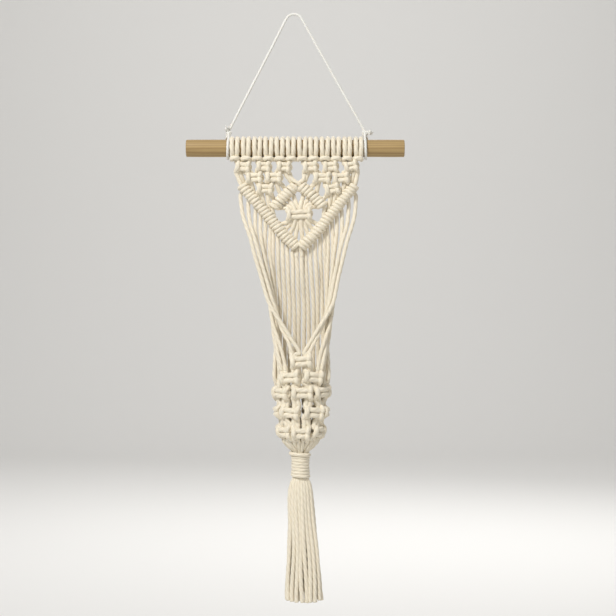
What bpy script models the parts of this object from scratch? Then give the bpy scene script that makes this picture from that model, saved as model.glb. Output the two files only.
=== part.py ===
"""Knotted cotton wall hanging on a wooden dowel, with a net pocket and a tassel.

Twelve cotton cords are folded over a dowel with lark's head knots. Their twenty-four strands are
tied into a pointed panel of square knots and hitches, hang free, are netted into a round pocket,
are bound together with a wrapping cord and end in a tassel. A thinner cord hangs the dowel up.

Metres, +Z up, +X to the right, -Y towards the room and +Y towards the wall. The origin is the
point under the hanger cord where it rests on its hook.
"""
import math

import bmesh
import bpy
from mathutils import Vector

# ---- Driving dimensions ----
gap = 0.0003                   # air between two pieces that touch on the real object
cord = 0.0040                  # thickness of a cotton strand
hanger_thickness = 0.0026      # thickness of the thin cord that holds the dowel

dowel_length = 0.218
dowel_diameter = 0.0176
dowel_chamfer = 0.0006
dowel_drop = 0.1328            # from the hanging point down to the dowel's axis
dowel_x = 0.0013               # the dowel hangs this far to the right of the hook
hook_radius = 0.0072           # inside bend of the hanger cord on its hook
hanger_knot_radius = 0.0029
hanger_tail = 0.0062           # from the middle of a hanger knot out to the cord's end

larks_count = 12               # doubled cords on the dowel
bar_angle = math.radians(-46)  # a lark's head's front bar lies this far round below the front
hitch_bump = 0.06              # each hitch swells by this share of the row's thickness
border_hitches = 11            # on each arm of the pointed border
diamond_hitches = 5            # on each upper side of the diamond
front_cut = 67.5               # degrees round from the front where the pocket's front wall ends
back_cut = 70.0                # and where its back wall starts
wrap_turns = 8

# Knots grow with the cord that they are tied in, so the sizes of all knotted work follow from it.
grow = cord / 0.0040
larks_pitch = 0.01120 * grow   # from one doubled cord to the next along the dowel
wrap_spread = 0.0028 * grow    # each wrap lies this far from its lark's head's middle
knot_width = 0.0160 * grow
knot_pitch = 0.0215 * grow     # from one square knot to the next along a row
knot_depth = 0.0088 * grow
row_pitch = 0.0110 * grow
panel_y = -0.0050 * grow       # the panel hangs in front of the dowel's axis
hitch_height = 0.0084 * grow   # thickness of a row of hitches, seen from the front
hitch_depth = 0.0088 * grow
center_knot_width = 0.0230 * grow
center_knot_height = 0.0128 * grow
net_knot_height = 0.0104 * grow
net_knot_half_depth = 0.0041 * grow
net_leg_half_depth = cord / 2
pocket_y = -0.0005 * grow
wrap_thickness = 0.0034 * grow
core_radius = 0.0062 * grow    # the bundle of strands inside the wrap
tassel_neck_length = 0.0200 * grow

dowel_radius = dowel_diameter / 2
slack = 0.0002                 # a wrap stands this much further off the dowel than the gap
wrap_path_radius = dowel_radius + gap + cord / 2 + slack
bar_reach = dowel_radius + gap + 0.0055 * grow   # from the dowel's axis to the middle of a front bar
hanger_margin = (cord + hanger_thickness) / 2 + 0.0004   # from the outermost wrap to the hanger's loop
work_top = -(dowel_drop + wrap_path_radius + cord / 2 + gap / 2)   # top of the first row of knots

# The tables below are for 4 mm cord. Their depths are measured down from the top of the first
# row of knots, and their offsets from the hanging's middle line.
center_knot_depth = 0.0530
wrap_depth = 0.2896            # down to the top of the wrap
tassel_depth = 0.4403          # down to the tassel's end
net_row_depths = [0.1993, 0.2148, 0.2300, 0.2493, 0.2698]
# How far the middle line lies to the right of the hook, by depth.
lean_line = [
    (0.0, 0.0027), (0.0388, 0.0050), (0.0938, 0.0050), (0.1438, 0.0075), (0.2538, 0.0075),
    (0.2938, 0.0062), (0.3338, 0.0060), (0.3838, 0.0080), (0.4438, 0.0100),
]
# The pocket's middle surface: depth, half width, half depth front to back.
pocket_shape = [
    (0.1838, 0.0265, 0.0150), (0.2298, 0.0248, 0.0145), (0.2498, 0.0250, 0.0140),
    (0.2698, 0.0200, 0.0125), (0.2838, 0.0160, 0.0110),
]
# Left arm of the pointed border and of the diamond: offset and depth.
border_line = [(-0.0565, 0.0238), (-0.0340, 0.0503), (-0.0150, 0.0733), (0.0, 0.0873)]
diamond_line = [(-0.0285, 0.0498), (-0.0135, 0.0338), (0.0, 0.0228)]

cotton = ("cotton", (0.86, 0.80, 0.67), 0.85)
white_cotton = ("white_cotton", (0.88, 0.87, 0.82), 0.80)
beech = ("beech", (0.66, 0.45, 0.26), 0.55)


# ---- Helpers ----
def clear_scene():
    for thing in list(bpy.data.objects):
        bpy.data.objects.remove(thing, do_unlink=True)


def paint(piece, finish):
    """Give a piece a material of its own in the named finish."""
    finish_name, color, roughness = finish
    material = bpy.data.materials.new(f"{piece.name}_{finish_name}")
    material.use_nodes = True
    shader = material.node_tree.nodes["Principled BSDF"]
    shader.inputs["Base Color"].default_value = (*color, 1.0)
    shader.inputs["Roughness"].default_value = roughness
    shader.inputs["Metallic"].default_value = 0.0
    piece.data.materials.append(material)


def add_mesh(name, mesh_builder, finish):
    """Turn a bmesh into a named, smooth-shaded object with its faces pointing out."""
    bmesh.ops.recalc_face_normals(mesh_builder, faces=mesh_builder.faces[:])
    mesh = bpy.data.meshes.new(name)
    mesh_builder.to_mesh(mesh)
    mesh_builder.free()
    mesh.shade_smooth()
    mesh.set_sharp_from_angle(angle=math.radians(40))
    piece = bpy.data.objects.new(name, mesh)
    bpy.context.collection.objects.link(piece)
    paint(piece, finish)
    return piece


def below(depth):
    """Height of a place on the knotted work, from its depth in the tables."""
    return work_top - depth * grow


def value_at(table, z, column):
    """Read a column of a depth table at a height, with straight lines between its rows."""
    depth = (work_top - z) / grow
    for upper, lower in zip(table, table[1:]):
        if depth <= lower[0]:
            break
    share = (depth - upper[0]) / (lower[0] - upper[0])
    share = min(max(share, 0.0), 1.0)
    return upper[column] + share * (lower[column] - upper[column])


def lean(z):
    return value_at(lean_line, z, 1)


def smooth_route(points, steps):
    """Catmull-Rom curve through the points, with the given steps from one to the next."""
    points = [Vector(point) for point in points]
    padded = [2 * points[0] - points[1], *points, 2 * points[-1] - points[-2]]
    route = []
    for a, b, c, d in zip(padded, padded[1:], padded[2:], padded[3:]):
        for step in range(steps):
            t = step / steps
            route.append(0.5 * (2 * b + (c - a) * t + (2 * a - 5 * b + 4 * c - d) * t ** 2
                                + (3 * b - a - 3 * c + d) * t ** 3))
    route.append(points[-1])
    return route


def loft(name, rings, finish, closed=False):
    """Join rings of points into one closed solid, capped unless its ends meet."""
    builder = bmesh.new()
    vert_rings = [[builder.verts.new(point) for point in ring] for ring in rings]
    pairs = list(zip(vert_rings, vert_rings[1:]))
    if closed:
        pairs.append((vert_rings[-1], vert_rings[0]))
    for first, second in pairs:
        for i in range(len(first)):
            j = (i + 1) % len(first)
            builder.faces.new((first[i], first[j], second[j], second[i]))
    if not closed:
        builder.faces.new(vert_rings[0])
        builder.faces.new(list(reversed(vert_rings[-1])))
    return add_mesh(name, builder, finish)


def oval(center, across, deep, half_across, half_deep, sides):
    """A ring of points round a middle, in the plane of two directions."""
    ring = []
    for i in range(sides):
        turn = 2 * math.pi * (i + 0.5) / sides
        ring.append(center + across * half_across * math.cos(turn) + deep * half_deep * math.sin(turn))
    return ring


def band_rings(route, flat_axis, half_across, half_deep, sides, swell=None):
    """Rings along a route. flat_axis is the direction that half_deep is measured along."""
    rings = []
    for i, point in enumerate(route):
        before = route[max(i - 1, 0)]
        after = route[min(i + 1, len(route) - 1)]
        along = (after - before).normalized()
        across = along.cross(flat_axis).normalized()
        deep = across.cross(along).normalized()
        factor = swell(i) if swell else 1.0
        rings.append(oval(point, across, deep, half_across * factor, half_deep * factor, sides))
    return rings


def cord_tube(name, points, thickness, finish, resolution):
    """A round cord along the points, as a bevelled curve with filled caps."""
    curve = bpy.data.curves.new(name, "CURVE")
    curve.dimensions = "3D"
    curve.bevel_depth = thickness / 2
    curve.bevel_resolution = resolution
    curve.use_fill_caps = True
    spline = curve.splines.new("POLY")
    spline.points.add(len(points) - 1)
    for spline_point, point in zip(spline.points, points):
        spline_point.co = (*point, 1.0)
    piece = bpy.data.objects.new(name, curve)
    bpy.context.collection.objects.link(piece)
    paint(piece, finish)
    return piece


def join_solids(piece, *others):
    """Weld other solids into a piece, which stays one closed body."""
    for other in others:
        modifier = piece.modifiers.new(f"with_{other.name}", "BOOLEAN")
        modifier.operation = "UNION"
        modifier.solver = "EXACT"
        modifier.object = other
        other.hide_render = True
        other.display_type = "WIRE"


# ---- Hanger cord ----
def larks_x(index):
    """Middle of one lark's head, counted from the left."""
    middle = (larks_count - 1) / 2
    return lean(-dowel_drop) + (index - middle) * larks_pitch


def make_hanger():
    """The thin cord over the hook, and at each end its knot and its loop round the dowel."""
    loop_radius = dowel_radius + gap + hanger_thickness / 2 + slack
    knot_z = -dowel_drop + loop_radius + hanger_thickness / 2 + gap + hanger_knot_radius
    left_x = larks_x(0) - wrap_spread - hanger_margin
    right_x = larks_x(larks_count - 1) + wrap_spread + hanger_margin
    bend = hook_radius + hanger_thickness / 2
    top = Vector((0.0, 0.0, -hook_radius))
    feet = [Vector((x, 0.0, knot_z + hanger_knot_radius + 2 * gap)) for x in (left_x, right_x)]
    legs = []
    for foot, side in zip(feet, (-1, 1)):
        reach = (foot - top).length
        slope = math.atan2(abs(foot.x - top.x), top.z - foot.z)
        turn = slope + math.asin(bend / reach)
        legs.append((foot, math.pi / 2 - side * (math.pi / 2 - turn)))
    route = [legs[0][0] + (top + Vector((math.cos(legs[0][1]), 0, math.sin(legs[0][1]))) * bend
                           - legs[0][0]) * share for share in (0, 0.25, 0.5, 0.75)]
    arc_steps = 10
    for step in range(arc_steps + 1):
        angle = legs[0][1] + (legs[1][1] - legs[0][1]) * step / arc_steps
        route.append(top + Vector((math.cos(angle), 0, math.sin(angle))) * bend)
    last = route[-1]
    route += [last + (legs[1][0] - last) * share for share in (0.25, 0.5, 0.75, 1)]
    cord_tube("hanger_cord", route, hanger_thickness, white_cotton, 2)
    for side_name, x, tail in (("left", left_x, -1), ("right", right_x, 1)):
        middle = Vector((x, 0.0, -dowel_drop))
        rings = []
        for step in range(20):
            angle = 2 * math.pi * step / 20
            outward = Vector((0.0, math.cos(angle), math.sin(angle)))
            rings.append(oval(middle + outward * loop_radius, outward, Vector((1, 0, 0)),
                              hanger_thickness / 2, hanger_thickness / 2, 6))
        loft(f"hanger_loop_{side_name}", rings, white_cotton, closed=True)
        center = Vector((x, 0.0, knot_z))
        end = center + Vector((tail * hanger_tail, -0.0012, 0.0012))
        start = center - Vector((tail * 0.8 * hanger_knot_radius, 0, 0))
        route = smooth_route([start, center, end], 3)
        widths = [0.55, 0.9, 1.0, 1.0, 0.8, 0.55, 0.5]
        rings = [oval(point, Vector((0, 1, 0)), Vector((0, 0, 1)), hanger_knot_radius * width,
                      hanger_knot_radius * width, 10) for point, width in zip(route, widths)]
        loft(f"hanger_knot_{side_name}", rings, white_cotton)


# ---- Dowel and lark's heads ----
def make_dowel():
    """A plain round stick with a small chamfer at each end, lying along X."""
    half = dowel_length / 2
    ends = [(-half, dowel_radius - dowel_chamfer), (-half + dowel_chamfer, dowel_radius),
            (half - dowel_chamfer, dowel_radius), (half, dowel_radius - dowel_chamfer)]
    rings = [oval(Vector((dowel_x + x, 0, -dowel_drop)), Vector((0, 1, 0)), Vector((0, 0, 1)),
                  radius, radius, 32) for x, radius in ends]
    loft("dowel", rings, beech)


def make_larks_head(index):
    """One folded cord: a bar across the front and a wrap over the dowel on each side of it."""
    middle = larks_x(index)

    def place(side, reach, angle):
        return Vector((middle + side * wrap_spread, -reach * math.cos(angle),
                       -dowel_drop + reach * math.sin(angle)))

    step = math.radians(22.5)
    wrap = [place(-1, wrap_path_radius, -step + step * i) for i in range(14)]
    wrap.append(place(-1, wrap_path_radius, math.radians(284)))
    bar_end = place(-1, bar_reach, bar_angle)
    turn = (bar_end + wrap[0]) / 2 + Vector((-0.1, -0.25, 0.0)) * cord
    left = [*reversed(wrap), turn, bar_end + Vector((0.15 * cord, 0, 0))]
    right = [Vector((2 * middle - point.x, point.y, point.z)) for point in reversed(left)]
    cord_tube(f"larks_head_{index + 1:02d}", left + right, cord, cotton, 1)


# ---- Panel ----
def knot_block(name, center, half_width, half_height, half_depth, finish=cotton):
    """A square knot as one pillow-shaped solid."""
    rings = []
    for share, size in ((-1.0, 0.80), (-0.62, 0.97), (0.62, 0.97), (1.0, 0.80)):
        ring = []
        for i in range(12):
            turn = 2 * math.pi * (i + 0.5) / 12
            x = math.copysign(abs(math.cos(turn)) ** 0.6, math.cos(turn))
            y = math.copysign(abs(math.sin(turn)) ** 0.6, math.sin(turn))
            ring.append(center + Vector((x * half_width * size, y * half_depth * size,
                                         share * half_height)))
        rings.append(ring)
    return loft(name, rings, finish)


def strand_pair(name, points, steps=3, top_slope=0.0, end_slope=0.0):
    """Two strands side by side as one flat band, with its ends cut to slopes across the front."""
    route = smooth_route(points, steps)
    rings = band_rings(route, Vector((0, 1, 0)), cord, cord / 2, 8)
    rings[0] = [Vector((vertex.x, vertex.y, route[0].z)) for vertex in rings[0]]
    rings[-1] = [Vector((vertex.x, vertex.y, route[-1].z)) for vertex in rings[-1]]
    for i, (ring, point) in enumerate(zip(rings, route)):
        share = i / (len(rings) - 1)
        slope = top_slope * (1 - share) + end_slope * share
        for vertex in ring:
            vertex.z += slope * (vertex.x - point.x)
    return loft(name, rings, cotton)


def row_z(row):
    return work_top - (row + 0.5) * row_pitch + gap / 2


def arm_at(line, x):
    """Height and slope of a row of hitches at a place across from the hanging's middle."""
    route = smooth_route([Vector((offset * grow, 0, below(depth))) for offset, depth in line], 40)
    for upper, lower in zip(route, route[1:]):
        if lower.x >= -abs(x):
            break
    slope = (lower.z - upper.z) / (lower.x - upper.x)
    return upper.z + slope * (-abs(x) - upper.x), slope * (1 if x < 0 else -1)


def arm_edge(line, x, side):
    """Where a strand meets a row of hitches, on its upper (1) or lower (-1) edge."""
    z, slope = arm_at(line, x)
    reach = hitch_height / 2 * (1 + hitch_bump) * math.hypot(1, slope) + 2 * gap
    return z + side * reach, slope


def make_square_knots():
    """Three rows of square knots, each with the strands that run down from it to the hitches."""
    half_height = (row_pitch - gap) / 2
    knot_rows = [(0, (-2.5, -1.5, -0.62, 0.62, 1.5, 2.5)), (1, (-2, -1.12, 1.12, 2)), (2, (-1.56, 1.56))]
    number = 0
    for row, places in knot_rows:
        for place in places:
            number += 1
            z = row_z(row)
            center = Vector((lean(z) + place * knot_pitch, panel_y, z))
            name = f"square_knot_{number:02d}"
            knot = knot_block(name, center, knot_width / 2, half_height, knot_depth / 2)
            legs = []
            for start, line, end in knot_legs(row, place):
                foot_z, slope = arm_edge(line, end, 1)
                foot = Vector((lean(foot_z) + end, panel_y, foot_z))
                top = center + Vector((start, 0, 0))
                points = [top, top + Vector((0, 0, -half_height)), foot]
                legs.append(strand_pair(f"{name}_leg_{len(legs)}", points, 2, end_slope=slope))
            join_solids(knot, *legs)


def knot_legs(row, place):
    """Strand pairs below a knot: start across the knot, the hitches they reach, and where."""
    side = 1 if place > 0 else -1
    if row == 0 and abs(place) > 2:
        return [(side * (cord + gap), border_line, side * 0.0556 * grow)]
    if row == 0 and abs(place) < 1:
        return [(-side * cord, diamond_line, side * 0.0050 * grow)]
    if row == 1 and abs(place) > 1.5:
        return [(side * cord, border_line, side * 0.0480 * grow)]
    if row == 1:
        return [(-side * cord, diamond_line, side * 0.0165 * grow)]
    if row == 2:
        return [(side * cord, border_line, side * 0.0370 * grow),
                (-side * cord, diamond_line, side * 0.0262 * grow)]
    return []


def hitch_row(name, route, hitches):
    """A row of hitches on a holding cord: a bar that swells at each hitch."""
    def swell(i):
        return 1.0 + hitch_bump * (-1) ** i

    total = 2 * hitches
    length = len(route) - 1
    points = [route[round(i * length / total)] for i in range(total + 1)]
    rings = band_rings(points, Vector((0, 1, 0)), hitch_height / 2, hitch_depth / 2, 8, swell)
    return loft(name, rings, cotton)


def line_route(line, mirror, y):
    points = []
    for offset, depth in line:
        z = below(depth)
        points.append(Vector((mirror * offset * grow + lean(z), y, z)))
    return smooth_route(points, 40)


def make_hitches():
    """The diamond's two upper sides in one piece, and the two arms of the pointed border."""
    left = line_route(diamond_line, 1, panel_y)
    right = line_route(diamond_line, -1, panel_y)
    hitch_row("diamond_hitches", left + list(reversed(right))[1:], 2 * diamond_hitches)
    hitch_row("border_hitches_left", line_route(border_line, 1, panel_y), border_hitches)
    arm = line_route(border_line, -1, panel_y)
    tip = lean(below(border_line[-1][1])) + hitch_height / 2 + 0.65 * cord
    arm = [point for point in arm if point.x > tip]
    hitch_row("border_hitches_right", arm, border_hitches)


def fan(name, outline):
    """The eight strands that fan out between the large knot and the hitches, as a flat plate."""
    rings = []
    for y in (panel_y - cord / 2, panel_y + cord / 2):
        rings.append([Vector((offset * grow + lean(z), y, z)) for offset, z in outline])
    loft(name, rings, cotton)


def make_center():
    """The large square knot in the diamond, with its strands above and below."""
    z = below(center_knot_depth)
    half_height = center_knot_height / 2
    center = Vector((lean(z), panel_y, z))
    knot_block("center_knot", center, center_knot_width / 2, half_height, knot_depth / 2)
    top = z + half_height + gap
    bottom = z - half_height - gap
    fan("fan_upper", [(-0.0070, top), (0.0070, top), (0.0130, below(0.0400)),
                      (0.0, below(0.0279)), (-0.0130, below(0.0400))])
    fan("fan_lower", [(-0.0065, bottom), (-0.0150, below(0.0668)), (0.0, below(0.0808)),
                      (0.0150, below(0.0668)), (0.0065, bottom)])


# ---- Pocket ----
def pocket_point(angle, z, outward=0.0):
    """A point on the pocket, by its angle round from the front, to the right."""
    half_width = value_at(pocket_shape, z, 1) * grow + outward
    half_depth = value_at(pocket_shape, z, 2) * grow + outward
    return Vector((lean(z) + half_width * math.sin(angle), pocket_y - half_depth * math.cos(angle), z))


def net_bands():
    """Bands down the net: top, bottom, whether it holds knots, and the row's first knot angle."""
    half = net_knot_height / 2
    bands = []
    for row, depth in enumerate(net_row_depths):
        z = below(depth)
        if bands:
            bands.append((bands[-1][1], z + half, False, row))
        bands.append((z + half, z - half, True, row))
    return bands


def is_solid(angle, knots, row):
    """Whether the net has cord at an angle: at a knot, or where two strands run between rows."""
    turn = abs((angle + 180) % 360 - 180)
    reach = 30 * row + 22.5 if knots else 30 * row - 7.5
    if turn > reach and row < (2 if knots else 3):
        return False
    if knots:
        nearest = 60 * round((turn - 30 * (row % 2)) / 60) + 30 * (row % 2)
        return abs(turn - nearest) < 22.5
    return abs(turn - (30 * math.floor(turn / 30) + 15)) < 7.5


def net_wall(name, angles):
    """One wall of the net pocket: a curved sheet, thick at its knots and open between them."""
    builder = bmesh.new()
    verts = {}
    cells = set()
    levels = []
    for top, bottom, knots, row in net_bands():
        middle = (top + bottom) / 2
        for level_top, level_bottom in ((top, middle), (middle, bottom)):
            levels.append((level_top, level_bottom, knots, row))
    heights = [levels[0][0]] + [level[1] for level in levels]
    for r, (_, _, knots, row) in enumerate(levels):
        for c in range(len(angles) - 1):
            if is_solid((angles[c] + angles[c + 1]) / 2, knots, row):
                cells.add((r, c))

    def half_depth(r):
        touching = [levels[i][2] for i in (r - 1, r) if 0 <= i < len(levels)]
        if all(touching):
            return net_knot_half_depth
        if any(touching):
            return (net_knot_half_depth + net_leg_half_depth) / 2
        return net_leg_half_depth

    def vert(r, c, face):
        if (r, c, face) not in verts:
            place = pocket_point(math.radians(angles[c]), heights[r], face * half_depth(r))
            verts[r, c, face] = builder.verts.new(place)
        return verts[r, c, face]

    for r, c in sorted(cells):
        corners = [(r, c), (r, c + 1), (r + 1, c + 1), (r + 1, c)]
        for face in (-1, 1):
            builder.faces.new([vert(i, j, face) for i, j in corners])
        neighbours = [(r - 1, c), (r, c + 1), (r + 1, c), (r, c - 1)]
        for k, neighbour in enumerate(neighbours):
            if neighbour not in cells:
                start, end = corners[k], corners[(k + 1) % 4]
                builder.faces.new([vert(*start, -1), vert(*end, -1), vert(*end, 1), vert(*start, 1)])
    add_mesh(name, builder, cotton)


def make_pocket():
    """The front wall of the net, which can be drawn forward, and its fixed back wall."""
    steps = [7.5 + 15 * i for i in range(-5, 5)]
    front = [-front_cut] + [angle for angle in steps if abs(angle) < front_cut - 1] + [front_cut]
    back_steps = [7.5 + 15 * i for i in range(5, 18)]
    back_inner = [angle for angle in back_steps if back_cut < angle < 360 - back_cut]
    back = [back_cut, *back_inner, 360 - back_cut]
    net_wall("pocket_front_net", front)
    net_wall("pocket_back_net", back)


# Routes of the strand pairs on the left, from under the border down to the net: offset, place
# towards the wall, and depth. The first depth follows from the border. Pairs 1 to 3 cross to the
# pocket's front, and pairs 4 to 6 hang straight behind.
pair_routes = [
    [(-0.0520, -0.0050, None), (-0.0515, -0.0072, 0.0558), (-0.0458, -0.0096, 0.0783),
     (-0.0408, -0.0102, 0.0983), (-0.0350, -0.0106, 0.1198), (-0.0300, -0.0114, 0.1398),
     (-0.0205, -0.0132, 0.1618), (-0.0105, -0.0148, 0.1808), (-0.0056, -0.0151, 0.1937)],
    [(-0.0428, -0.0050, None), (-0.0405, -0.0050, 0.0698), (-0.0360, -0.0052, 0.1018),
     (-0.0298, -0.0060, 0.1388), (-0.0255, -0.0082, 0.1688), (-0.0210, -0.0108, 0.1918),
     (-0.0176, -0.0116, 0.2092)],
    [(-0.0335, -0.0050, None), (-0.0330, -0.0020, 0.0788), (-0.0300, 0.0006, 0.1138),
     (-0.0266, 0.0006, 0.1538), (-0.0254, -0.0014, 0.1888), (-0.0245, -0.0044, 0.2244)],
    [(-0.0240, -0.0050, None), (-0.0240, -0.0010, 0.0868), (-0.0240, 0.0054, 0.1188),
     (-0.0243, 0.0072, 0.1588), (-0.0243, 0.0064, 0.1938), (-0.0240, 0.0048, 0.2244)],
    [(-0.0147, -0.0050, None), (-0.0148, -0.0020, 0.0988), (-0.0150, 0.0052, 0.1338),
     (-0.0152, 0.0094, 0.1688), (-0.0156, 0.0102, 0.1988), (-0.0158, 0.0104, 0.2244)],
    [(-0.0053, -0.0050, None), (-0.0054, -0.0020, 0.1098), (-0.0053, 0.0062, 0.1438),
     (-0.0052, 0.0116, 0.1788), (-0.0051, 0.0132, 0.2038), (-0.0051, 0.0136, 0.2244)],
]


def make_long_strands():
    """Six pairs on each side, cut along the border at the top and ending on the net's knots."""
    names = ["front_strands_{}_1", "front_strands_{}_2", "front_strands_{}_3",
             "back_strands_{}_1", "back_strands_{}_2", "back_strands_{}_3"]
    for side_name, side in (("left", 1), ("right", -1)):
        for name, route in zip(names, pair_routes):
            first = side * route[0][0] * grow
            top_z, slope = arm_edge(border_line, first, -1)
            points = [Vector((first + lean(top_z), route[0][1] * grow, top_z))]
            for offset, y, depth in route[1:]:
                z = below(depth)
                points.append(Vector((side * offset * grow + lean(z), y * grow, z)))
            strand_pair(name.format(side_name), points, 3, top_slope=slope)


# ---- Wrap and tassel ----
def level_ring(z, half_width, half_depth, sides, flute=0.0, lobes=0):
    ring = []
    for i in range(sides):
        turn = 2 * math.pi * i / sides
        swell = 1.0 + flute * math.cos(lobes * turn)
        ring.append(Vector((lean(z) + half_width * swell * math.cos(turn),
                            half_depth * swell * math.sin(turn), z)))
    return ring


def make_gathering():
    """All strands drawn together under the net, and the core that runs on through the wrap."""
    net_end = below(net_row_depths[-1]) - net_knot_height / 2 - gap
    wrap_top = below(wrap_depth)
    wrap_end = wrap_top - wrap_turns * wrap_thickness
    levels = [(net_end, 0.0185, 0.0115), (net_end - 0.0060 * grow, 0.0150, 0.0105),
              (net_end - 0.0110 * grow, 0.0112, 0.0092), (wrap_top + gap, 0.0095, 0.0085)]
    rings = [level_ring(z, half_width * grow, half_depth * grow, 16) for z, half_width, half_depth in levels]
    for z in (wrap_top + gap - 0.0001, wrap_end - gap):
        rings.append(level_ring(z, core_radius, core_radius, 16))
    loft("gathered_strands", rings, cotton)


def make_wrap():
    """The wrapping cord: a ring of turns round the core, the top turn a little looser."""
    wrap_top = below(wrap_depth)
    inner = core_radius + gap
    groove = 0.2 * cord
    profile = []
    for turn in range(wrap_turns):
        middle = wrap_top - (turn + 0.5) * wrap_thickness
        reach = inner + wrap_thickness * (1.1 if turn == 0 else 0.86)
        profile.append((reach - groove, middle + 0.46 * wrap_thickness))
        profile.append((reach, middle))
        profile.append((reach - groove, middle - 0.46 * wrap_thickness))
    profile.append((inner, wrap_top - wrap_turns * wrap_thickness + 0.0001))
    profile.append((inner, wrap_top - 0.0001))
    sides = 20
    rings = []
    for i in range(sides):
        turn = 2 * math.pi * i / sides
        outward = Vector((math.cos(turn), math.sin(turn), 0))
        rings.append([outward * radius + Vector((lean(z), 0, z)) for radius, z in profile])
    loft("wrap_cord", rings, cotton, closed=True)


def fluted(name, levels):
    """A run of hanging strand ends as a solid with grooves down it: height, half width, half depth."""
    rings = []
    for z, half_width, half_depth in levels:
        rings.append(level_ring(z, half_width * grow, half_depth * grow, 24, 0.03, 12))
    loft(name, rings, cotton)


def make_tassel():
    """The strand ends below the wrap: a neck that bends, and the hanging skirt."""
    top = below(wrap_depth) - wrap_turns * wrap_thickness - 2 * gap
    neck_end = top - tassel_neck_length
    end = below(tassel_depth)
    fluted("tassel_neck", [(top, 0.0078, 0.0070), (top - 0.35 * tassel_neck_length, 0.0105, 0.0088),
                           (neck_end, 0.0124, 0.0096)])
    fluted("tassel_skirt", [(neck_end - gap, 0.0124, 0.0096), (below(0.3638), 0.0140, 0.0105),
                            (below(0.3938), 0.0168, 0.0112), (below(0.4188), 0.0182, 0.0118),
                            (end + 0.75 * cord, 0.0195, 0.0120), (end, 0.0165, 0.0100)])


clear_scene()
make_hanger()
make_dowel()
for larks_index in range(larks_count):
    make_larks_head(larks_index)
make_square_knots()
make_hitches()
make_center()
make_long_strands()
make_pocket()
make_gathering()
make_wrap()
make_tassel()
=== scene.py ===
# %% [markdown]
# # A knotted cotton wall hanging
# This script dresses the working model of a macrame wall hanging. Twelve cotton cords are folded
# over a wooden dowel, so twenty-four strands hang from it. They are tied into a pointed panel,
# cross over into a round net pocket, are bound with a wrapping cord and end in a tassel.
#
# On the real object nearly everything is cord. A plate with a knot pattern painted on it would be
# quick, but its edge and its back would be wrong. So each cord is laid here as one long path that
# goes through every knot as the maker's hands take it, and a tube is drawn along that path.

# %% Load the frame
import random
from math import asin, atan2, copysign, cos, degrees, hypot, pi, radians, sin, sqrt

import bpy
from mathutils import Matrix, Vector


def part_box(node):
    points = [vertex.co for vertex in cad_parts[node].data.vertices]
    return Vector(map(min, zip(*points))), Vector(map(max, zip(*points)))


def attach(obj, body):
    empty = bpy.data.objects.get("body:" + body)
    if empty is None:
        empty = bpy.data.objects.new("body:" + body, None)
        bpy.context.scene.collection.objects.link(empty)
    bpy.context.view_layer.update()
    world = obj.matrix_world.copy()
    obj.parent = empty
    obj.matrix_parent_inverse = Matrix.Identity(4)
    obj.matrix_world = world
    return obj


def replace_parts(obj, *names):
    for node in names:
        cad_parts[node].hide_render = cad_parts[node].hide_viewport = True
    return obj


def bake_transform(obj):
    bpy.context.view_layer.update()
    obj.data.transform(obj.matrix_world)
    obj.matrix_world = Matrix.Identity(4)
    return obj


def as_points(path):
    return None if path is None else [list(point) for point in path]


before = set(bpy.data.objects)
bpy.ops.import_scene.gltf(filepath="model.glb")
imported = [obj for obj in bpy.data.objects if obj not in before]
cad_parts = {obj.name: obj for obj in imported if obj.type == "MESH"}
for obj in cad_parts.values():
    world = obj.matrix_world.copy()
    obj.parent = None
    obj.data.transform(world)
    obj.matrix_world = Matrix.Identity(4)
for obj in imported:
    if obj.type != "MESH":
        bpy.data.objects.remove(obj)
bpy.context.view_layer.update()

# %% [markdown]
# ## Camera
# The hanging is seen straight from the front, from far enough away that its sides don't spread.
# A long lens does that. The camera's distance follows from its lens, its sensor and the width of
# the view, so any of the three can change and the framing stays.

# %% Camera
view_width = 0.616
view_middle = Vector((0.014, 0.0, -0.2925))
lens = 85.0
sensor = 36.0
camera_distance = view_width * lens / sensor
bpy.ops.object.camera_add(
    location=view_middle - Vector((0, camera_distance, 0)),
    rotation=(radians(90), 0, 0),
)
camera = bpy.context.object
camera.name = "camera"
camera.data.lens = lens
camera.data.sensor_width = sensor
bpy.context.scene.camera = camera
bpy.context.scene.view_settings.view_transform = "Standard"
print("camera distance:", round(camera_distance, 3))

# %% [markdown]
# ## Sizes
# The working model has already settled every size, so the dowel, the heads of the cords, the wrap
# and the tassel are read from its boxes. The knots are measured in strand thicknesses, because a
# knot tied in thicker cord comes out larger in the same proportion.

# %% Sizes
strand = 0.0040
hanger_thickness = 0.0026
strand_count = 24


def box_middle(node):
    low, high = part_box(node)
    return (low + high) / 2


dowel_low, dowel_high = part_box("dowel")
dowel_middle = box_middle("dowel")
dowel_radius = (dowel_high.z - dowel_low.z) / 2
head_places = [box_middle(f"larks_head_{number:02d}").x for number in range(1, 13)]
wrap_low, wrap_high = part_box("wrap_cord")
tassel_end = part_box("tassel_skirt")[0].z
work_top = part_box("square_knot_01")[1].z
panel_y = box_middle("center_knot").y
print("dowel radius:", round(dowel_radius, 4), "top of the knots:", round(work_top, 4))

# %% [markdown]
# The hanging doesn't fall quite straight from its hook: its middle line drifts a few millimetres to
# the right on the way down. A short table holds that drift, and `lean` reads it at any depth below
# the first row of knots.

# %% The middle line
lean_line = [
    (0.0, 0.0027), (0.0388, 0.0050), (0.0938, 0.0050), (0.1438, 0.0075), (0.2538, 0.0075),
    (0.2938, 0.0064), (0.3338, 0.0064), (0.3838, 0.0088), (0.4438, 0.0102),
]


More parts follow.
